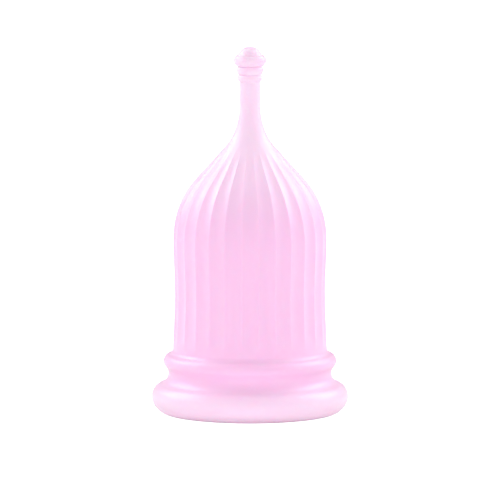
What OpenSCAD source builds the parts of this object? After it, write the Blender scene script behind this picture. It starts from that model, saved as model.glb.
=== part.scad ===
// Soft silicone cup with a fluted bell, a rolled two-step rim and a ringed drain stem.
// The cup stands on its rim: the origin is the centre of the mouth, on the plane that
// the rim rests on, and +Z runs along the axis towards the stem. Sizes are in millimetres.

/* [Rim] */
// Outside diameter of the rolled lip, the widest part of the cup
rim_d = 44; // [42:0.5:46]
// Rounding of the lip below its widest line
lip_low_r = 3.8; // [3.2:0.1:4.2]
// Rounding of the lip above its widest line
lip_top_r = 3; // [2.4:0.1:3.4]
// Depth of the flat that the lip rests on
rest_cut = 0.2; // [0.1:0.05:0.5]
// Rounding of the groove between the lip and the upper ring
groove_r = 2.4; // [1.8:0.1:3]
// How far the upper ring stands out from the barrel of the bell
ring_out = 2.1; // [1.6:0.1:2.8]
// Rounding of the upper ring
ring_r = 1.7; // [1.4:0.1:2]
// Height of the upper ring's widest line above the resting plane
ring_z = 11.5; // [10.5:0.1:12.5]
// Fillet between the upper ring and the bell
fillet_r = 1.3; // [0.8:0.1:1.8]
// How much wider than the barrel of the bell the mouth opens, on the radius
mouth_flare = 1.6; // [0.8:0.1:1.8]
// Height at which the mouth starts to widen
flare_z = 16; // [12:0.5:22]
// Rounding of the mouth's inner edge
mouth_edge_r = 0.8; // [0.4:0.1:1]

/* [Bell] */
// How far the lip stands out from the barrel of the bell, which sets the barrel's width
lip_out = 4.75; // [4.2:0.05:5.4]
// How far the barrel draws in at its waist
waist_in = 0.35; // [0:0.05:0.6]
// Height at which the barrel turns into the shoulder
shoulder_z = 39; // [34:0.5:46]
// Bend radius of the shoulder
shoulder_r = 19.9; // [17:0.1:22]
// Angle between the sloping crown and the axis
crown_angle = 42; // [38:1:46]
// Bend radius of the neck where it leaves the crown
neck_low_r = 10.9; // [9.5:0.1:12]
// Bend radius of the neck where it runs into the stem
neck_top_r = 16.5; // [14:0.5:20]
// Angle to the axis at which the two bends of the neck meet
neck_mid_angle = 22; // [18:1:26]
// Wall of the bell, from a flute ridge to the inside
wall = 1.75; // [1.4:0.05:2.1]
// Bend radius of the hollow's top inside the neck
hollow_bend_r = 5; // [4:0.1:6]
// Radius of the hollow's small ceiling
ceiling_r = 1.5; // [1.3:0.1:1.7]
// Height of the ceiling's dome
ceiling_rise = 0.6; // [0.3:0.1:0.8]

/* [Flutes] */
// Number of flutes round the bell
flute_count = 28; // [22:1:34]
// Depth of a flute on the barrel; it shrinks with the spacing towards the neck
flute_depth = 0.45; // [0.2:0.05:0.6]
// Length over which the flutes rise out of the smooth foot of the bell
flute_fade_in = 4.5; // [3:0.5:8]
// Length over which the flutes die out towards the neck
flute_fade_out = 6; // [4:0.5:8]

/* [Stem] */
// Radius of the straight stem
stem_r = 2.3; // [2.1:0.05:2.6]
// Length of the stem from the neck to the stopper's seat
stem_len = 8.7; // [7:0.1:20]
// Diameter of the drain bore through the neck and stem
bore_d = 2.2; // [1.6:0.1:2.4]
// Radius of the upper grip ring
grip_top_r = 3; // [2.8:0.05:3.3]
// Rounding of the upper grip ring
grip_top_round = 1.3; // [1.1:0.05:1.4]
// Radius of the lower grip ring
grip_low_r = 2.8; // [2.7:0.05:3.1]
// Rounding of the lower grip ring
grip_low_round = 1; // [0.8:0.05:1.1]
// Distance from the stopper's seat down to the middle of the upper grip ring
grip_top_drop = 1; // [0.8:0.1:1.2]
// Distance between the middles of the two grip rings
grip_pitch = 1.7; // [1.5:0.1:2]

/* [Stopper] */
// Radius of the stopper's flange
flange_r = 3.63; // [3.4:0.05:4.2]
// Thickness of the stopper's flange
flange_h = 2.3; // [1.8:0.1:2.6]
// Rounding of the flange's edge
flange_edge_r = 1.5; // [1.4:0.1:2]
// Radius of the dome on the flange
dome_r = 2.7; // [2.2:0.1:3]
// Height of the dome
dome_h = 2; // [1.2:0.1:2.2]
// Radial clearance of the stopper's shank in the drain bore
shank_gap = 0.05; // [0.02:0.01:0.1]
// Rounding of the shank's tip
tip_round = 0.5; // [0.3:0.1:0.7]

/* [Hidden] */
$fn = 96;

silicone = [0.98, 0.8, 0.94];
stopper_silicone = [0.99, 0.86, 0.96];
arc_step = 12;            // largest angle between two points of an arc
flare_steps = 6;          // points along the widening mouth
flute_facets = 4;         // facets across one flute
fade_stations = 3;        // stations along the rising stretch of the flutes
barrel_stations = 5;      // stations along the barrel
crown_stations = 4;       // stations along the sloping crown
skin_ledge = 0.03;        // ledge where the fluted skin meets the smooth foot and neck
over = 1;                 // how far a shape reaches past what it cuts or joins

// ---- Geometry helpers: points are [radius, height] in a plane through the axis ----

function arc(c, r, from, to) =
    let (n = ceil(abs(to - from) / arc_step))
    [for (i = [0:n]) let (a = i == n ? to : from + (to - from) * i / n) c + r * [cos(a), sin(a)]];

function bearing(from, to) = atan2(to.y - from.y, to.x - from.x);

// Centre of the circle of radius g that touches circle a from outside and circle b from
// outside, on the outer side of the line between their centres
function touching_centre(a, ra, b, rb, g) =
    let (
        d = norm(b - a),
        u = (b - a) / d,
        along = (pow(ra + g, 2) - pow(rb + g, 2) + d * d) / (2 * d),
        off = sqrt(pow(ra + g, 2) - along * along)
    )
    a + along * u + off * [u.y, -u.x];

// Rises from 0 to 1 with level ends as x goes from 0 to 1
function ease(x) =
    let (t = max(0, min(1, x)))
    t * t * (3 - 2 * t);

// ---- Rim outline: lip, groove, upper ring and fillet, each tangent to the next ----

bell_r = rim_d / 2 - lip_out;  // barrel radius over the ridges of the flutes
lip_z = lip_low_r - rest_cut;
lip_low_c = [rim_d / 2 - lip_low_r, lip_z];
lip_top_c = [rim_d / 2 - lip_top_r, lip_z];
ring_c = [bell_r + ring_out - ring_r, ring_z];
groove_c = touching_centre(lip_top_c, lip_top_r, ring_c, ring_r, groove_r);
fillet_x = bell_r + fillet_r;
fillet_c = [fillet_x, ring_z + sqrt(pow(ring_r + fillet_r, 2) - pow(fillet_x - ring_c.x, 2))];
lip_rest_angle = asin(lip_z / lip_low_r);
rim_seam_z = groove_c.y;  // the rim meets the bell at the bottom of the groove
foot_z = fillet_c.y;      // the smooth foot of the bell ends where its fillet does

// ---- Bell: barrel, shoulder, sloping crown and neck ----

function barrel_r(z) =
    bell_r - waist_in * (1 - cos(360 * (z - foot_z) / (shoulder_z - foot_z))) / 2;

shoulder_c = [bell_r - shoulder_r, shoulder_z];
crown_low = shoulder_c + shoulder_r * [cos(crown_angle), sin(crown_angle)];
neck_low_rise = neck_low_r * (sin(crown_angle) - sin(neck_mid_angle));
neck_low_run = neck_low_r * (cos(neck_mid_angle) - cos(crown_angle));
neck_top_rise = neck_top_r * sin(neck_mid_angle);
neck_top_run = neck_top_r * (1 - cos(neck_mid_angle));
crown_top_r = stem_r + neck_top_run + neck_low_run;
crown_top = [crown_top_r, crown_low.y + (crown_low.x - crown_top_r) / tan(crown_angle)];
stem_foot_z = crown_top.y + neck_low_rise + neck_top_rise;
neck_top_c = [stem_r + neck_top_r, stem_foot_z];
neck_mid = neck_top_c - neck_top_r * [cos(neck_mid_angle), sin(neck_mid_angle)];
neck_low_c = neck_mid + neck_low_r * [cos(neck_mid_angle), sin(neck_mid_angle)];

// ---- Hollow of the bell ----

hollow_r = bell_r - wall;
hollow_shoulder_r = shoulder_r - wall;
hollow_crown_low = shoulder_c + hollow_shoulder_r * [cos(crown_angle), sin(crown_angle)];
hollow_crown_top_r = ceiling_r + hollow_bend_r * (1 - cos(crown_angle));
hollow_crown_top_z = hollow_crown_low.y + (hollow_crown_low.x - hollow_crown_top_r) / tan(crown_angle);
ceiling_z = hollow_crown_top_z + hollow_bend_r * sin(crown_angle);
ceiling_ball_r = (pow(ceiling_r, 2) + pow(ceiling_rise, 2)) / (2 * ceiling_rise);

function hollow_at(z) = hollow_r + mouth_flare * pow(max(0, flare_z - z) / flare_z, 2);

function hollow_wall(low, high) =
    [for (i = [0:flare_steps]) let (z = low + (high - low) * i / flare_steps) [hollow_at(z), z]];

// ---- Stem and stopper ----

bore_r = bore_d / 2;
shank_r = bore_r - shank_gap;
seat_z = stem_foot_z + stem_len;
grip_top_z = seat_z - grip_top_drop;
grip_low_z = grip_top_z - grip_pitch;
shank_tip_z = ceiling_z;
flange_top_z = seat_z + flange_h;
flange_c = [flange_r - flange_edge_r, seat_z + flange_h / 2];
flange_angle = asin(flange_h / 2 / flange_edge_r);
dome_ball_r = (pow(dome_r, 2) + pow(dome_h, 2)) / (2 * dome_h);
dome_c = [0, flange_top_z + dome_h - dome_ball_r];

// ---- Fluted skin: rings of points, one ring for each station up the bell. It starts
// inside the smooth foot, and the neck starts inside it, so that the solids overlap ----

skin_path = concat(
    [[bell_r, foot_z - over]],
    [for (i = [1:fade_stations - 1]) let (z = foot_z + flute_fade_in * i / fade_stations) [barrel_r(z), z]],
    [for (i = [0:barrel_stations - 1])
        let (
            low = foot_z + flute_fade_in,
            z = low + (shoulder_z - low) * i / barrel_stations
        )
        [barrel_r(z), z]],
    arc(shoulder_c, shoulder_r, 0, crown_angle),
    [for (i = [1:crown_stations]) crown_low + (crown_top - crown_low) * i / crown_stations]
);

// Depth of the flutes at a point of the path
function depth_at(p) =
    flute_depth * p.x / bell_r
    * ease((p.y - foot_z) / flute_fade_in)
    * ease((crown_top.y - p.y) / flute_fade_out);

// Share of the depth at a share u of the way across a flute, 0 on the ridges
function flute_shape(u) = 1 - pow(2 * u - 1, 2);

// A flute, and not a ridge, faces -Y
function skin_ring(p) =
    let (points = flute_count * flute_facets)
    [for (i = [0:points - 1])
        let (
            u = (i % flute_facets) / flute_facets,
            r = p.x - skin_ledge - depth_at(p) * flute_shape(u),
            a = -90 + 360 * (i / points - 0.5 / flute_count)
        )
        [r * cos(a), r * sin(a), p.y]];

module fluted_skin() {
    points = flute_count * flute_facets;
    rings = len(skin_path);
    sides = [
        for (j = [0:rings - 2], i = [0:points - 1])
            let (
                a = j * points + i,
                b = j * points + (i + 1) % points
            )
            each [[a, a + points, b], [b, a + points, b + points]]
    ];
    bottom = [for (i = [0:points - 1]) i];
    top = [for (i = [points - 1:-1:0]) (rings - 1) * points + i];
    polyhedron(
        points = [for (p = skin_path) each skin_ring(p)],
        faces = concat(sides, [bottom, top])
    );
}

// ---- Sub-parts ----

// The smooth foot of the bell: the upper half of the groove, the upper ring and its fillet
module bell_foot() {
    groove_end = bearing(groove_c, ring_c);
    ring_end = bearing(ring_c, fillet_c);
    rotate_extrude()
        polygon(concat(
            [[0, rim_seam_z]],
            arc(groove_c, groove_r, 180, groove_end),
            arc(ring_c, ring_r, groove_end - 180, ring_end),
            arc(fillet_c, fillet_r, ring_end + 180, 180),
            [[0, foot_z]]
        ));
}

module neck() {
    rotate_extrude()
        polygon(concat(
            [[0, crown_top.y - over], [crown_top.x, crown_top.y - over]],
            arc(neck_low_c, neck_low_r, 180 + crown_angle, 180 + neck_mid_angle),
            arc(neck_top_c, neck_top_r, 180 + neck_mid_angle, 180),
            [[0, stem_foot_z]]
        ));
}

module hollow() {
    ceiling_angle = acos(ceiling_r / ceiling_ball_r);
    rotate_extrude()
        polygon(concat(
            [[0, rim_seam_z - over], [hollow_at(rim_seam_z), rim_seam_z - over]],
            hollow_wall(rim_seam_z, flare_z),
            arc(shoulder_c, hollow_shoulder_r, 0, crown_angle),
            arc(
                [ceiling_r + hollow_bend_r, ceiling_z], hollow_bend_r,
                180 + crown_angle, 180
            ),
            arc([0, ceiling_z + ceiling_rise - ceiling_ball_r], ceiling_ball_r, ceiling_angle, 90)
        ));
}

// The lip of the mouth, with the lower half of the groove above it
module rolled_rim() {
    groove_start = bearing(lip_top_c, groove_c);
    mouth_edge_c = [hollow_at(mouth_edge_r) + mouth_edge_r, mouth_edge_r];
    color(silicone)
        rotate_extrude()
            polygon(concat(
                arc(mouth_edge_c, mouth_edge_r, 180, 270),
                arc(lip_low_c, lip_low_r, -lip_rest_angle, 0),
                arc(lip_top_c, lip_top_r, 0, groove_start),
                arc(groove_c, groove_r, groove_start + 180, 180),
                hollow_wall(rim_seam_z, mouth_edge_r)
            ));
}

module fluted_bell() {
    color(silicone)
        difference() {
            union() {
                bell_foot();
                fluted_skin();
                neck();
            }
            hollow();
            translate([0, 0, ceiling_z - over])
                cylinder(r = bore_r, h = stem_foot_z - ceiling_z + 2 * over);
        }
}

// The tube of the stem, with two grip rings under the stopper's seat
module drain_stem() {
    color(silicone)
        rotate_extrude()
            difference() {
                union() {
                    translate([0, stem_foot_z])
                        square([stem_r, stem_len]);
                    translate([grip_low_r - grip_low_round, grip_low_z])
                        circle(r = grip_low_round);
                    translate([grip_top_r - grip_top_round, grip_top_z])
                        circle(r = grip_top_round);
                }
                translate([0, stem_foot_z - over])
                    square([bore_r, stem_len + 2 * over]);
                translate([0, seat_z])
                    square([2 * grip_top_r, grip_top_r]);
            }
}

// The stopper: a domed flange on a shank that fills the drain bore down to the ceiling
module stem_stopper() {
    dome_start = asin((flange_top_z - dome_c.y) / dome_ball_r);
    color(stopper_silicone)
        rotate_extrude()
            polygon(concat(
                [[0, shank_tip_z]],
                arc([shank_r - tip_round, shank_tip_z + tip_round], tip_round, -90, 0),
                [[shank_r, seat_z]],
                arc(flange_c, flange_edge_r, -flange_angle, flange_angle),
                arc(dome_c, dome_ball_r, dome_start, 90)
            ));
}

rolled_rim();
fluted_bell();
drain_stem();
stem_stopper();
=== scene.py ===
"""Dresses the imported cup: one moulded silicone skin for the rim, bell and stem, and the stopper in its bore.

The sizes and colours are properties of the scene, each piece has its own operator, and the panel in the
sidebar lists them. Lengths are in metres, points of an outline are (radius, height) in a plane through
the axis, and angles are in degrees.
"""
import math

import bmesh
import bpy
from bpy.props import FloatProperty, FloatVectorProperty, IntProperty, PointerProperty
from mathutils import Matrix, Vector


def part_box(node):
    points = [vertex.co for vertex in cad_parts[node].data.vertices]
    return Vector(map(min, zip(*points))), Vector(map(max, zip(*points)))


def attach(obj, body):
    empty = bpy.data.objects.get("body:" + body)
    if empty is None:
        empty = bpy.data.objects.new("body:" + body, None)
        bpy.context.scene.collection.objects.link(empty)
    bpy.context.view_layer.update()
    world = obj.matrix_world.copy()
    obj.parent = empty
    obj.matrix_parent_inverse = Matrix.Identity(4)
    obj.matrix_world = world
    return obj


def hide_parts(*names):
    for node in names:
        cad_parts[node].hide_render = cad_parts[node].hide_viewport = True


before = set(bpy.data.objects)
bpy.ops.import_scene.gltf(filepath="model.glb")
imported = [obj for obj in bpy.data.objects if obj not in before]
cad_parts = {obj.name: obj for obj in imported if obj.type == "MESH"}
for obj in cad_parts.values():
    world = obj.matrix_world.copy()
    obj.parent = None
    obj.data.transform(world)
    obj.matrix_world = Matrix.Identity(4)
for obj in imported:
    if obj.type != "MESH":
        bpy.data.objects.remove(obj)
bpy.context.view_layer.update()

bl_info = {
    "name": "Silicone Cup",
    "version": (1, 0, 0),
    "blender": (4, 5, 0),
    "location": "View3D > Sidebar > Cup",
    "description": "Builds the looks of a fluted silicone cup with a drain stem and its stopper",
    "category": "Object",
}

MM = 0.001
RIM_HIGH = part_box("rolled_rim")[1]
STEM_LOW, STEM_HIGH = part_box("drain_stem")
STOPPER_LOW, STOPPER_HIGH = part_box("stem_stopper")


# ---- Properties ----

def length(name, millimetres, description):
    """A length property, with its default in millimetres."""
    return FloatProperty(
        name=name, description=description, default=millimetres * MM, min=0.0, precision=5, unit="LENGTH",
    )


def tint(name, colour, description):
    """A colour property."""
    return FloatVectorProperty(
        name=name, description=description, default=colour, min=0.0, max=1.0, size=3, subtype="COLOR",
    )


def share(name, value, description, high=1.0):
    """A plain number from 0 up to high."""
    return FloatProperty(name=name, description=description, default=value, min=0.0, max=high)


class CupSizes(bpy.types.PropertyGroup):
    """Sizes of the moulding and the stopper. What the frame's boxes give isn't repeated here."""

    lip_low: length("Lip below", 3.8, "Rounding of the lip below its widest line")
    lip_top: length("Lip above", 3.0, "Rounding of the lip above its widest line")
    lip_out: length("Lip overhang", 4.75, "How far the lip stands out from the barrel of the bell")
    rest_cut: length("Resting flat", 0.2, "Depth of the flat that the lip rests on")
    groove: length("Groove", 2.4, "Rounding of the groove between the lip and the upper ring")
    ring_out: length("Ring overhang", 2.1, "How far the upper ring stands out from the barrel")
    ring: length("Ring", 1.7, "Rounding of the upper ring")
    ring_z: length("Ring height", 11.5, "Height of the upper ring's widest line")
    fillet: length("Ring fillet", 1.3, "Fillet between the upper ring and the bell")
    mouth_flare: length("Mouth flare", 1.6, "How much wider than the barrel the mouth opens")
    flare_z: length("Flare height", 16.0, "Height at which the mouth starts to widen")
    mouth_edge: length("Mouth edge", 0.8, "Rounding of the mouth's inner edge")
    waist_in: length("Waist", 0.35, "How far the barrel draws in at its waist")
    shoulder_z: length("Shoulder height", 39.0, "Height at which the barrel turns into the shoulder")
    shoulder: length("Shoulder bend", 19.9, "Bend radius of the shoulder")
    neck_low: length("Lower neck bend", 10.9, "Bend radius of the neck where it leaves the crown")
    neck_top: length("Upper neck bend", 16.5, "Bend radius of the neck where it runs into the stem")
    wall: length("Wall", 1.75, "Wall of the bell, from a flute's ridge to the inside")
    hollow_bend: length("Hollow bend", 5.0, "Bend radius of the hollow's top inside the neck")
    ceiling: length("Ceiling", 1.5, "Radius of the hollow's small ceiling")
    ceiling_rise: length("Ceiling rise", 0.6, "Height of the ceiling's dome")
    flute_depth: length("Flute depth", 0.45, "Depth of a flute on the barrel")
    flute_fade_in: length("Flute start", 4.5, "Length over which the flutes rise out of the foot")
    flute_fade_out: length("Flute end", 4.0, "Length over which the flutes die out towards the neck")
    flutes: IntProperty(name="Flutes", description="Number of flutes round the bell", default=28, min=3)
    stem: length("Stem", 2.3, "Radius of the straight stem")
    bore: length("Drain bore", 1.1, "Radius of the drain bore")
    grip_top_round: length("Upper grip rounding", 1.3, "Rounding of the upper grip ring")
    grip_low_out: length("Lower grip", 2.8, "Radius of the lower grip ring")
    grip_low_round: length("Lower grip rounding", 1.0, "Rounding of the lower grip ring")
    grip_drop: length("Grip drop", 1.0, "From the stopper's seat down to the middle of the upper grip ring")
    grip_pitch: length("Grip pitch", 1.7, "Distance between the middles of the grip rings")
    flange: length("Flange", 2.3, "Thickness of the stopper's flange")
    flange_edge: length("Flange edge", 1.5, "Rounding of the flange's edge")
    dome: length("Dome", 2.7, "Radius of the dome on the flange")
    shank_gap: length("Shank gap", 0.05, "Radial clearance of the shank in the drain bore")
    tip_round: length("Shank tip", 0.5, "Rounding of the shank's tip")


class CupLooks(bpy.types.PropertyGroup):
    """Colours and finish of the silicone and of the stage."""

    # Thin is the bell's tone darkened with painted shade for the dark hollow behind the wall. Thick is the
    # paler tone with painted light, used on the lip, towards the neck, on the stem and on the stopper.
    thin: tint("Thin silicone", (0.995, 0.59, 0.82), "Colour of the milky silicone in the bell's thin wall")
    thick: tint("Thick silicone", (0.995, 0.70, 0.86), "Colour where it is thick, as in the lip and the stem")
    clouding: share("Clouding", 0.02, "How unevenly the pigment is stirred in")
    scatter: length("Scattering", 0.18, "How far light travels in the silicone")
    roughness: share("Roughness", 0.33, "Roughness of the satin moulded surface")
    surround: share("Surround", 0.51, "Brightness of the white surround as light on the cup", high=4.0)
    fill: share("Fill", 3.2, "Brightness of the large softbox in front", high=20.0)
    table: share("Table", 0.12, "How much light the lit table gives to the cup from below")
    rim: share("Rim lights", 4.4, "Brightness of the two softboxes behind the cup, left and right", high=20.0)


CROWN_ANGLE = 42.0
NECK_MID_ANGLE = 22.0

# How far apart the points of an outline lie: degrees on arcs, metres on walls, a share of the crown's slope.
ARC_STEP = 5.0
WIDE_STEP = 3.0
SMALL_STEP = 8.0
TIP_STEP = 10.0
MOUTH_STEP = 15.0
FADE_STEP = 0.5 * MM
STEM_STEP = 1 * MM
WALL_STEP = 2 * MM
BORE_STEP = 3 * MM
CROWN_STEP = 0.1


# ---- Outlines ----

def arc(centre, radius, start, end, step=ARC_STEP):
    """Points of an arc, with the first and last included."""
    count = max(1, math.ceil(abs(end - start) / step))
    angles = [math.radians(start + (end - start) * i / count) for i in range(count + 1)]
    return [centre + radius * Vector((math.cos(a), math.sin(a))) for a in angles]


def bearing(start, end):
    """Direction from one point to another, from -180 to 180."""
    return math.degrees(math.atan2(end.y - start.y, end.x - start.x))


def touching_centre(a, radius_a, b, radius_b, radius):
    """Centre of a circle that touches circles a and b from outside, on their outer side."""
    apart = (b - a).length
    along_axis = (b - a) / apart
    along = ((radius_a + radius) ** 2 - (radius_b + radius) ** 2 + apart * apart) / (2 * apart)
    off = math.sqrt((radius_a + radius) ** 2 - along * along)
    return a + along * along_axis + off * Vector((along_axis.y, -along_axis.x))


def ball_radius(half_width, rise):
    """Radius of the ball whose cap has that half width and rise."""
    return (half_width ** 2 + rise ** 2) / (2 * rise)


def ease(x):
    """Rises from 0 to 1 with level ends as x goes from 0 to 1."""
    t = max(0.0, min(1.0, x))
    return t * t * (3.0 - 2.0 * t)


def steps_between(low, high, step):
    """Values from low up to high, both included, no more than step apart."""
    count = max(1, math.ceil(abs(high - low) / step))
    return [low + (high - low) * i / count for i in range(count + 1)]


class CupShape:
    """The moulding's outline, worked out from the sizes and the frame's boxes."""

    def __init__(self, s):
        self.s = s
        rim_r = RIM_HIGH.x
        self.bell_r = rim_r - s.lip_out
        self.lip_z = s.lip_low - s.rest_cut
        self.lip_low_c = Vector((rim_r - s.lip_low, self.lip_z))
        self.lip_top_c = Vector((rim_r - s.lip_top, self.lip_z))
        self.ring_c = Vector((self.bell_r + s.ring_out - s.ring, s.ring_z))
        self.groove_c = touching_centre(self.lip_top_c, s.lip_top, self.ring_c, s.ring, s.groove)
        fillet_x = self.bell_r + s.fillet
        rise = math.sqrt((s.ring + s.fillet) ** 2 - (fillet_x - self.ring_c.x) ** 2)
        self.fillet_c = Vector((fillet_x, s.ring_z + rise))
        self.foot_z = self.fillet_c.y
        self.shoulder_c = Vector((self.bell_r - s.shoulder, s.shoulder_z))
        stem_foot_z = STEM_LOW.z
        mid = Vector((math.cos(math.radians(NECK_MID_ANGLE)), math.sin(math.radians(NECK_MID_ANGLE))))
        crown = Vector((math.cos(math.radians(CROWN_ANGLE)), math.sin(math.radians(CROWN_ANGLE))))
        self.crown_low = self.shoulder_c + s.shoulder * crown
        self.neck_top_c = Vector((s.stem + s.neck_top, stem_foot_z))
        self.neck_low_c = self.neck_top_c + (s.neck_low - s.neck_top) * mid
        self.crown_top = self.neck_low_c - s.neck_low * crown
        self.hollow_r = self.bell_r - s.wall
        self.hollow_crown_low = self.shoulder_c + (s.shoulder - s.wall) * crown
        top_r = s.ceiling + s.hollow_bend * (1 - crown.x)
        slope = math.tan(math.radians(CROWN_ANGLE))
        top_z = self.hollow_crown_low.y + (self.hollow_crown_low.x - top_r) / slope
        self.hollow_crown_top = Vector((top_r, top_z))
        self.ceiling_z = top_z + s.hollow_bend * crown.y

    def barrel(self, z):
        """Radius of the barrel over the ridges."""
        turn = 2 * math.pi * (z - self.foot_z) / (self.s.shoulder_z - self.foot_z)
        return self.bell_r - self.s.waist_in * (1 - math.cos(turn)) / 2

    def flute_depth(self, point):
        """Depth of the flutes at a point of the outline; it shrinks with their spacing."""
        fade_in = ease((point.y - self.foot_z) / self.s.flute_fade_in)
        fade_out = ease((self.crown_top.y - point.y) / self.s.flute_fade_out)
        return self.s.flute_depth * point.x / self.bell_r * fade_in * fade_out

    def hollow(self, z):
        """Radius of the hollow up to the shoulder."""
        spread = max(0.0, self.s.flare_z - z) / self.s.flare_z
        return self.hollow_r + self.s.mouth_flare * spread * spread

    def rim(self):
        """From the mouth's inner edge, under the lip and up to the foot of the flutes."""
        s = self.s
        edge_c = Vector((self.hollow(s.mouth_edge) + s.mouth_edge, s.mouth_edge))
        rest = math.degrees(math.asin(self.lip_z / s.lip_low))
        groove_start = bearing(self.lip_top_c, self.groove_c)
        groove_end = bearing(self.groove_c, self.ring_c)
        ring_end = bearing(self.ring_c, self.fillet_c)
        return (
            arc(edge_c, s.mouth_edge, 180, 270, MOUTH_STEP)
            + arc(self.lip_low_c, s.lip_low, -rest, 0)
            + arc(self.lip_top_c, s.lip_top, 0, groove_start)[1:]
            + arc(self.groove_c, s.groove, groove_start + 180, groove_end, SMALL_STEP)[1:]
            + arc(self.ring_c, s.ring, groove_end - 180, ring_end, SMALL_STEP)[1:]
            + arc(self.fillet_c, s.fillet, ring_end + 180, 180, SMALL_STEP)[1:]
        )

    def bell(self):
        """From the foot of the flutes over the shoulder and the neck to the stem."""
        s = self.s
        fade_top = self.foot_z + s.flute_fade_in
        fading = steps_between(self.foot_z, fade_top, FADE_STEP)[1:]
        full = steps_between(fade_top, s.shoulder_z, WALL_STEP)[1:]
        crown = steps_between(0.0, 1.0, CROWN_STEP)
        return (
            [Vector((self.barrel(z), z)) for z in fading + full]
            + arc(self.shoulder_c, s.shoulder, 0, CROWN_ANGLE, WIDE_STEP)[1:]
            + [self.crown_low.lerp(self.crown_top, t) for t in crown[1:]]
            + arc(self.neck_low_c, s.neck_low, 180 + CROWN_ANGLE, 180 + NECK_MID_ANGLE, WIDE_STEP)[1:]
            + arc(self.neck_top_c, s.neck_top, 180 + NECK_MID_ANGLE, 180, WIDE_STEP)[1:]
        )

    def grips(self):
        """The straight stem with its two grip rings, up to the seat of the stopper."""
        s = self.s
        seat_z = STEM_HIGH.z
        top_c = Vector((STEM_HIGH.x - s.grip_top_round, seat_z - s.grip_drop))
        low_c = Vector((s.grip_low_out - s.grip_low_round, top_c.y - s.grip_pitch))
        low_start = math.degrees(math.acos((s.stem - low_c.x) / s.grip_low_round))
        apart = (top_c - low_c).length
        line = bearing(low_c, top_c)
        low_cut = math.degrees(math.acos(
            (apart ** 2 + s.grip_low_round ** 2 - s.grip_top_round ** 2) / (2 * apart * s.grip_low_round)))
        top_cut = math.degrees(math.acos(
            (apart ** 2 + s.grip_top_round ** 2 - s.grip_low_round ** 2) / (2 * apart * s.grip_top_round)))
        seat = math.degrees(math.asin((seat_z - top_c.y) / s.grip_top_round))
        straight = steps_between(STEM_LOW.z, low_c.y - s.grip_low_round, STEM_STEP)[1:-1]
        return (
            [Vector((s.stem, z)) for z in straight]
            + arc(low_c, s.grip_low_round, -low_start, line - low_cut, SMALL_STEP)
            + arc(top_c, s.grip_top_round, line - 180 + top_cut, seat, SMALL_STEP)[1:]
        )

    def inside(self):
        """Down the drain bore and the hollow, back to the mouth."""
        s = self.s
        ball = ball_radius(s.ceiling, s.ceiling_rise)
        ball_c = Vector((0.0, self.ceiling_z + s.ceiling_rise - ball))
        bore_angle = math.degrees(math.acos(s.bore / ball))
        ceiling_angle = math.degrees(math.acos(s.ceiling / ball))
        bore_low = ball_c.y + math.sqrt(ball ** 2 - s.bore ** 2)
        bore = [Vector((s.bore, z)) for z in steps_between(STEM_HIGH.z, bore_low, BORE_STEP)]
        bend_c = Vector((s.ceiling + s.hollow_bend, self.ceiling_z))
        crown = steps_between(0.0, 1.0, CROWN_STEP)
        wall = [Vector((self.hollow(z), z)) for z in steps_between(s.shoulder_z, s.mouth_edge, WALL_STEP)]
        return (
            bore
            + arc(ball_c, ball, bore_angle, ceiling_angle)[1:]
            + arc(bend_c, s.hollow_bend, 180, 180 + CROWN_ANGLE)[1:]
            + [self.hollow_crown_top.lerp(self.hollow_crown_low, t) for t in crown[1:]]
            + arc(self.shoulder_c, s.shoulder - s.wall, CROWN_ANGLE, 0, WIDE_STEP)[1:]
            + wall[1:-1]
        )


# ---- Meshes ----

AXIS_REACH = 0.0001 * MM
FLUTE_STOPS = (0.0, 0.02, 0.05, 0.1, 0.18, 0.28, 0.39, 0.5, 0.61, 0.72, 0.82, 0.9, 0.95, 0.98)
RIDGE_SOFTNESS = 0.1
STOPPER_SIDES = 96
SHARP_ANGLE = 50.0


def flute_shape(u):
    """Share of the depth at a share u of the way across a flute, with softly rounded ridges."""
    hollow = 1.0 - (2.0 * u - 1.0) ** 2
    full = math.hypot(1.0, RIDGE_SOFTNESS) - RIDGE_SOFTNESS
    return (math.hypot(hollow, RIDGE_SOFTNESS) - RIDGE_SOFTNESS) / full


def place_mesh(name, bm):
    """Puts a finished bmesh in the scene as an object."""
    mesh = bpy.data.meshes.new(name)
    bm.to_mesh(mesh)
    bm.free()
    return place(name, mesh)


def place(name, data):
    """Puts a new object in the scene, made of a mesh, a light or a camera."""
    added = bpy.data.objects.new(name, data)
    bpy.context.scene.collection.objects.link(added)
    return added


def revolve(name, outline, azimuths, closed, sink, painted_light_share):
    """A closed skin round the axis.

    sink(point, i) is how far the skin lies inside the outline, and the last function gives each point its
    share of painted light in the tone, from 0 in the bell's wall, which keeps a painted shade, to 1 in the
    solid parts, which are painted paler.
    """
    bm = bmesh.new()
    # The vertex layer holds each point's share of painted light: the paler tone stands in for light, and 0
    # leaves the painted shade of the thin wall.
    painted_light_layer = bm.verts.layers.float.new("painted_light_share")
    rings = []
    for point in outline:
        ring = []
        for i, a in enumerate(azimuths if point.x > AXIS_REACH else azimuths[:1]):
            r = point.x - sink(point, i)
            vert = bm.verts.new((r * math.cos(a), r * math.sin(a), point.y))
            vert[painted_light_layer] = painted_light_share(point)
            ring.append(vert)
        rings.append(ring)
    count = len(azimuths)
    pairs = list(zip(rings, rings[1:])) + ([(rings[-1], rings[0])] if closed else [])
    for low, high in pairs:
        for i in range(count):
            j = (i + 1) % count
            if len(low) == 1:
                bm.faces.new((low[0], high[j], high[i]))
            elif len(high) == 1:
                bm.faces.new((low[i], low[j], high[0]))
            else:
                bm.faces.new((low[i], low[j], high[j], high[i]))
    bmesh.ops.recalc_face_normals(bm, faces=bm.faces)
    piece = place_mesh(name, bm)
    piece.data.shade_smooth()
    piece.data.set_sharp_from_angle(angle=math.radians(SHARP_ANGLE))
    return piece


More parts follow.
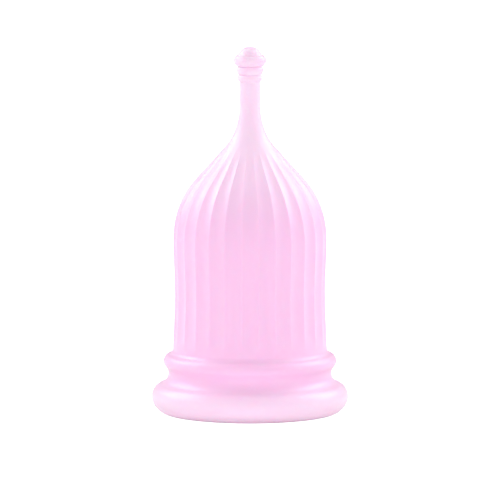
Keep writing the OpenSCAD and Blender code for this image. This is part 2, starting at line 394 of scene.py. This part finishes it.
def cup_moulding(s):
    """The rim, bell and stem as one unbroken skin, fluted outside and smooth inside."""
    shape = CupShape(s)
    bell = shape.bell()
    outside = {id(p) for p in bell}
    outline = shape.rim() + bell + shape.grips() + shape.inside()
    azimuths = []
    shares = []
    for flute in range(s.flutes):
        for u in FLUTE_STOPS:
            azimuths.append(math.radians(-90 + 360 * (flute + u - 0.5) / s.flutes))
            shares.append(flute_shape(u))

    def sink(point, i):
        return shape.flute_depth(point) * shares[i] if id(point) in outside else 0.0

    # Share of painted light: 1 below the lip's widest line, fading out by the groove, and rising from the
    # shoulder up to the ceiling. The bell's wall and the upper ring keep 0, a painted shade standing in for
    # the dark hollow behind them.
    def painted_light_share(point):
        lip = 1.0 - ease((point.y - shape.lip_z) / (shape.groove_c.y - shape.lip_z))
        neck = ease((point.y - s.shoulder_z) / (shape.ceiling_z - s.shoulder_z))
        return max(lip, neck)

    return revolve("cup_moulding", outline, azimuths, True, sink, painted_light_share)


def stopper(s):
    """The domed flange and the shank that fills the drain bore."""
    shank = s.bore - s.shank_gap
    tip_z = STOPPER_LOW.z
    seat_z = STEM_HIGH.z
    flange_top = seat_z + s.flange
    dome_rise = STOPPER_HIGH.z - flange_top
    ball = ball_radius(s.dome, dome_rise)
    ball_c = Vector((0.0, STOPPER_HIGH.z - ball))
    flange_c = Vector((STOPPER_HIGH.x - s.flange_edge, seat_z + s.flange / 2))
    flange_angle = math.degrees(math.asin(s.flange / 2 / s.flange_edge))
    dome_start = math.degrees(math.asin((flange_top - ball_c.y) / ball))
    tip_c = Vector((shank - s.tip_round, tip_z + s.tip_round))
    outline = (
        [Vector((0.0, tip_z))]
        + arc(tip_c, s.tip_round, -90, 0, TIP_STEP)
        + [Vector((shank, z)) for z in steps_between(tip_z + s.tip_round, seat_z, WALL_STEP)[1:]]
        + arc(flange_c, s.flange_edge, -flange_angle, flange_angle)
        + arc(ball_c, ball, dome_start, 90)
    )
    azimuths = [2 * math.pi * i / STOPPER_SIDES for i in range(STOPPER_SIDES)]
    # The solid stopper gets the full share of painted light, the paler tone all over.
    return revolve("stopper", outline, azimuths, False, lambda point, i: 0.0, lambda point: 1.0)


# ---- Materials ----

WHITE = (1.0, 1.0, 1.0, 1.0)

# Noise scales are in waves per metre.
NOISE_MIDDLE = 0.5
CLOUD_SCALE = 60.0
CLOUD_DETAIL = 2.0
PATCH_SCALE = 180.0
PATCH_DETAIL = 3.0
GRAIN_SCALE = 4000.0
GRAIN_DETAIL = 2.0
GRAIN_STRENGTH = 0.1
GRAIN_HEIGHT = 0.01 * MM

# Red light travels furthest in the silicone and green least, as shares of the scattering length.
SCATTER_RATIO = (1.5, 1.0, 1.2)
SILICONE_IOR = 1.41


def group_nodes(name, inputs, outputs):
    """A new shader node group with named sockets; each input is (name, type, default)."""
    group = bpy.data.node_groups.new(name, "ShaderNodeTree")
    for label, kind, default in inputs:
        group.interface.new_socket(label, in_out="INPUT", socket_type=kind).default_value = default
    for label, kind in outputs:
        group.interface.new_socket(label, in_out="OUTPUT", socket_type=kind)
    return group, group.nodes.new("NodeGroupInput"), group.nodes.new("NodeGroupOutput")


def noise(group, source, scale, detail):
    """A noise texture over the piece, in the piece's own coordinates."""
    node = group.nodes.new("ShaderNodeTexNoise")
    node.inputs["Scale"].default_value = scale
    node.inputs["Detail"].default_value = detail
    group.links.new(source, node.inputs["Vector"])
    return node


def uneven(group, texture, amount, level):
    """Sways a level by a noise texture: (noise - its middle) * amount + level."""
    centre = group.nodes.new("ShaderNodeMath")
    centre.operation = "SUBTRACT"
    centre.inputs[1].default_value = NOISE_MIDDLE
    spread = group.nodes.new("ShaderNodeMath")
    spread.operation = "MULTIPLY_ADD"
    group.links.new(texture.outputs["Fac"], centre.inputs[0])
    group.links.new(centre.outputs[0], spread.inputs[0])
    group.links.new(amount, spread.inputs[1])
    group.links.new(level, spread.inputs[2])
    return spread.outputs[0]


def tone_group():
    """The silicone's colour: the Thin colour with painted shade, turning into the paler Thick colour with
    painted light by the share on the Thickness input, with slow clouds of pigment.
    """
    group, ins, outs = group_nodes(
        "silicone_tone",
        [("Thin", "NodeSocketColor", WHITE), ("Thick", "NodeSocketColor", WHITE),
         ("Thickness", "NodeSocketFloat", 0.0), ("Clouding", "NodeSocketFloat", 0.1)],
        [("Color", "NodeSocketColor")],
    )
    where = group.nodes.new("ShaderNodeTexCoord")
    clouds = noise(group, where.outputs["Object"], CLOUD_SCALE, CLOUD_DETAIL)
    # The Thickness input is the share of painted light, stirred a little by the pigment clouds.
    lit_share_with_clouds = uneven(group, clouds, ins.outputs["Clouding"], ins.outputs["Thickness"])
    mix = group.nodes.new("ShaderNodeMix")
    mix.data_type = "RGBA"
    group.links.new(lit_share_with_clouds, mix.inputs["Factor"])
    group.links.new(ins.outputs["Thin"], mix.inputs["A"])
    group.links.new(ins.outputs["Thick"], mix.inputs["B"])
    group.links.new(mix.outputs["Result"], outs.inputs["Color"])
    return group


def satin_group():
    """The fine satin of a bead-blasted mould: a height for the bump and an uneven roughness."""
    group, ins, outs = group_nodes(
        "moulded_satin",
        [("Roughness", "NodeSocketFloat", 0.4), ("Unevenness", "NodeSocketFloat", 0.1)],
        [("Height", "NodeSocketFloat"), ("Roughness", "NodeSocketFloat")],
    )
    where = group.nodes.new("ShaderNodeTexCoord")
    grain = noise(group, where.outputs["Object"], GRAIN_SCALE, GRAIN_DETAIL)
    patches = noise(group, where.outputs["Object"], PATCH_SCALE, PATCH_DETAIL)
    roughness = uneven(group, patches, ins.outputs["Unevenness"], ins.outputs["Roughness"])
    group.links.new(grain.outputs["Fac"], outs.inputs["Height"])
    group.links.new(roughness, outs.inputs["Roughness"])
    return group


def shared_group(name, build):
    """The named node group, built the first time it is asked for."""
    return bpy.data.node_groups.get(name) or build()


def silicone(name, thin, thick, looks):
    """Milky silicone: light goes in a little way, scatters and comes out again under a satin skin."""
    material = bpy.data.materials.new(name)
    material.use_nodes = True
    nodes, links = material.node_tree.nodes, material.node_tree.links
    shader = nodes["Principled BSDF"]
    shader.inputs["Subsurface Weight"].default_value = 1.0
    shader.inputs["Subsurface Radius"].default_value = SCATTER_RATIO
    shader.inputs["Subsurface Scale"].default_value = looks.scatter
    shader.inputs["IOR"].default_value = SILICONE_IOR
    # The vertex layer's share mixes painted shade on the bell's thin wall with paler painted light on the lip,
    # towards the neck and on the stem.
    wall = nodes.new("ShaderNodeAttribute")
    wall.attribute_name = "painted_light_share"
    tone = nodes.new("ShaderNodeGroup")
    tone.node_tree = shared_group("silicone_tone", tone_group)
    tone.inputs["Thin"].default_value = (*thin, 1.0)
    tone.inputs["Thick"].default_value = (*thick, 1.0)
    tone.inputs["Clouding"].default_value = looks.clouding
    satin = nodes.new("ShaderNodeGroup")
    satin.node_tree = shared_group("moulded_satin", satin_group)
    satin.inputs["Roughness"].default_value = looks.roughness
    bump = nodes.new("ShaderNodeBump")
    bump.inputs["Strength"].default_value = GRAIN_STRENGTH
    bump.inputs["Distance"].default_value = GRAIN_HEIGHT
    links.new(wall.outputs["Fac"], tone.inputs["Thickness"])
    links.new(tone.outputs["Color"], shader.inputs["Base Color"])
    links.new(satin.outputs["Roughness"], shader.inputs["Roughness"])
    links.new(satin.outputs["Height"], bump.inputs["Height"])
    links.new(bump.outputs["Normal"], shader.inputs["Normal"])
    return material


# ---- Stage ----

CAMERA_DISTANCE = 2.0
CAMERA_ELEVATION = 7.0
CAMERA_LENS = 644.7
CAMERA_SENSOR = 36.0
CAMERA_REACH = 50.0
AIM_HEIGHT = 36.4 * MM

TABLE_WHITE = (0.8, 0.8, 0.8, 1.0)
TABLE_ROUGHNESS = 0.9
TABLE_REACH = 3.0

RIM_AZIMUTH = 116
RIM_PLACE = {"elevation": 36, "distance": 0.6, "width": 0.4, "height": 0.4}
FILL_PLACE = {"azimuth": 0, "elevation": 10, "distance": 2.6, "width": 2.2, "height": 1.6}


def aim(thing, azimuth, elevation, distance):
    """Places a camera or light so that it faces the middle of the cup. Azimuth 0 is the front."""
    turn, up = math.radians(azimuth), math.radians(elevation)
    out = Vector((math.sin(turn) * math.cos(up), -math.cos(turn) * math.cos(up), math.sin(up)))
    thing.location = Vector((0.0, 0.0, AIM_HEIGHT)) + distance * out
    thing.rotation_mode = "QUATERNION"
    thing.rotation_quaternion = (-out).to_track_quat("-Z", "Y")


def camera():
    """A long lens, a little above the rim."""
    data = bpy.data.cameras.new("camera")
    data.lens = CAMERA_LENS
    data.sensor_width = CAMERA_SENSOR
    data.clip_end = CAMERA_REACH
    view = place("camera", data)
    aim(view, 0, CAMERA_ELEVATION, CAMERA_DISTANCE)
    bpy.context.scene.camera = view


def softbox(name, azimuth, elevation, distance, width, height, brightness):
    """An area light that faces the middle of the cup, its face as bright as asked for at any size."""
    data = bpy.data.lights.new(name, "AREA")
    data.shape = "RECTANGLE"
    data.size = width
    data.size_y = height
    data.energy = brightness * math.pi * width * height
    lamp = place(name, data)
    aim(lamp, azimuth, elevation, distance)
    return lamp


def white_to_camera(tree, lit, socket):
    """Drives a strength: 1 to the eye, and as much as asked for as light on the cup."""
    path = tree.nodes.new("ShaderNodeLightPath")
    pick = tree.nodes.new("ShaderNodeMix")
    pick.inputs["A"].default_value = lit
    pick.inputs["B"].default_value = 1.0
    tree.links.new(path.outputs["Is Camera Ray"], pick.inputs["Factor"])
    tree.links.new(pick.outputs["Result"], socket)


def surround(looks):
    """A white surround: pure white to the eye, and as bright as asked for as light on the cup."""
    world = bpy.data.worlds.new("surround")
    world.use_nodes = True
    bpy.context.scene.world = world
    back = world.node_tree.nodes["Background"]
    back.inputs["Color"].default_value = WHITE
    white_to_camera(world.node_tree, looks.surround, back.inputs["Strength"])


def table_top(looks):
    """The pale floor, a white table lit evenly enough that it takes no shadow."""
    bm = bmesh.new()
    corners = ((-1, -1), (1, -1), (1, 1), (-1, 1))
    bm.faces.new([bm.verts.new((x * TABLE_REACH, y * TABLE_REACH, 0.0)) for x, y in corners])
    floor = place_mesh("table_top", bm)
    material = bpy.data.materials.new("white_table")
    material.use_nodes = True
    shader = material.node_tree.nodes["Principled BSDF"]
    shader.inputs["Base Color"].default_value = TABLE_WHITE
    shader.inputs["Roughness"].default_value = TABLE_ROUGHNESS
    shader.inputs["Emission Color"].default_value = WHITE
    white_to_camera(material.node_tree, looks.table, shader.inputs["Emission Strength"])
    floor.data.materials.append(material)
    return floor


# ---- Operators ----

class CUP_OT_moulding(bpy.types.Operator):
    """Build the rim, bell and stem as one silicone moulding"""

    bl_idname = "cup.moulding"
    bl_label = "Cup Moulding"

    def execute(self, context):
        looks = context.scene.cup_looks
        piece = cup_moulding(context.scene.cup_sizes)
        piece.data.materials.append(silicone("milky_silicone", looks.thin, looks.thick, looks))
        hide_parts("rolled_rim", "fluted_bell", "drain_stem")
        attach(piece, "cup")
        return {"FINISHED"}


class CUP_OT_stopper(bpy.types.Operator):
    """Build the stopper that closes the drain stem"""

    bl_idname = "cup.stopper"
    bl_label = "Stopper"

    def execute(self, context):
        looks = context.scene.cup_looks
        piece = stopper(context.scene.cup_sizes)
        # The stopper uses the paler Thick colour for both, painted light all over.
        piece.data.materials.append(silicone("stopper_silicone", looks.thick, looks.thick, looks))
        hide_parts("stem_stopper")
        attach(piece, "stopper")
        return {"FINISHED"}


class CUP_OT_stage(bpy.types.Operator):
    """Set up the camera, the white table and the soft studio light"""

    bl_idname = "cup.stage"
    bl_label = "Stage"

    def execute(self, context):
        looks = context.scene.cup_looks
        camera()
        surround(looks)
        table_top(looks)
        softbox("rim_light_left", azimuth=-RIM_AZIMUTH, brightness=looks.rim, **RIM_PLACE)
        softbox("rim_light_right", azimuth=RIM_AZIMUTH, brightness=looks.rim, **RIM_PLACE)
        softbox("fill_light", brightness=looks.fill, **FILL_PLACE).visible_glossy = False
        context.scene.view_settings.view_transform = "Standard"
        return {"FINISHED"}


class CUP_PT_panel(bpy.types.Panel):
    """Lists the cup's operators, sizes and looks"""

    bl_idname = "CUP_PT_panel"
    bl_label = "Silicone Cup"
    bl_space_type = "VIEW_3D"
    bl_region_type = "UI"
    bl_category = "Cup"

    def draw(self, context):
        for operator in OPERATORS:
            self.layout.operator(operator.bl_idname)
        for group in (context.scene.cup_sizes, context.scene.cup_looks):
            box = self.layout.box()
            for prop in group.bl_rna.properties:
                if prop.identifier in group.__annotations__:
                    box.prop(group, prop.identifier)


OPERATORS = (CUP_OT_stage, CUP_OT_moulding, CUP_OT_stopper)
CLASSES = (CupSizes, CupLooks, *OPERATORS, CUP_PT_panel)


def register():
    for cls in CLASSES:
        bpy.utils.register_class(cls)
    bpy.types.Scene.cup_sizes = PointerProperty(type=CupSizes)
    bpy.types.Scene.cup_looks = PointerProperty(type=CupLooks)


def unregister():
    del bpy.types.Scene.cup_looks
    del bpy.types.Scene.cup_sizes
    for cls in reversed(CLASSES):
        bpy.utils.unregister_class(cls)


def main():
    """Runs the operators in order."""
    register()
    bpy.ops.cup.stage()
    bpy.ops.cup.moulding()
    bpy.ops.cup.stopper()


if __name__ == "__main__":
    main()
